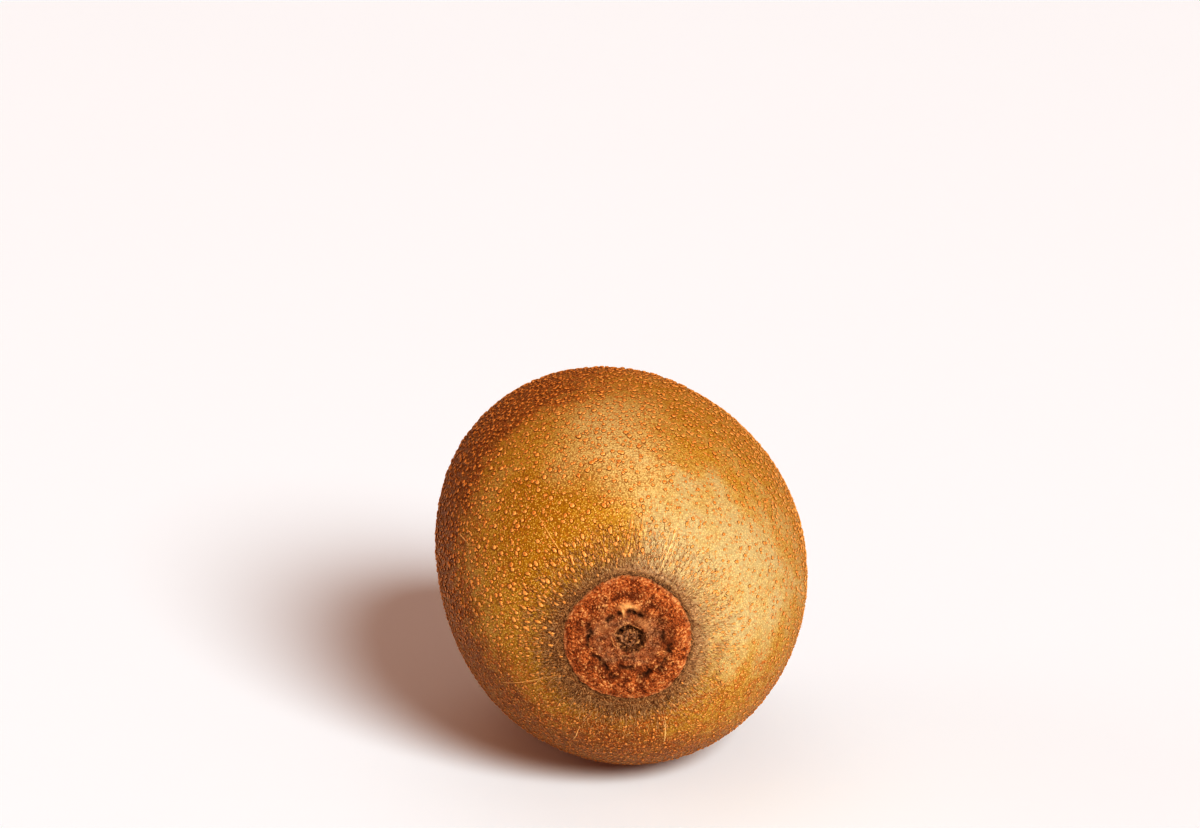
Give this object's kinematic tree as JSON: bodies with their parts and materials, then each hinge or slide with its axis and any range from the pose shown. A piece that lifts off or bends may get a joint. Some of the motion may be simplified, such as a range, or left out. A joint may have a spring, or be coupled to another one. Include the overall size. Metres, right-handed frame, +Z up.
{
  "type": "golden kiwi fruit",
  "caption": "Whole golden kiwi fruit lying on its side, with a corky stem scar at one end and a dried flower crown at the other.",
  "frame": {"origin": "under the middle of the fruit, at the height of the flat spot that it rests on", "axes": "+Y along the fruit from the stem end towards the flower end, +Z up, so the stem scar faces -Y"},
  "size_m": [0.055, 0.0736, 0.0545],
  "materials": {
    "fruit_skin": "matt, thin natural skin"
  },
  "bodies": {
    "root": {"golden_kiwi": "fruit_skin"}
  },
  "joints": []
}
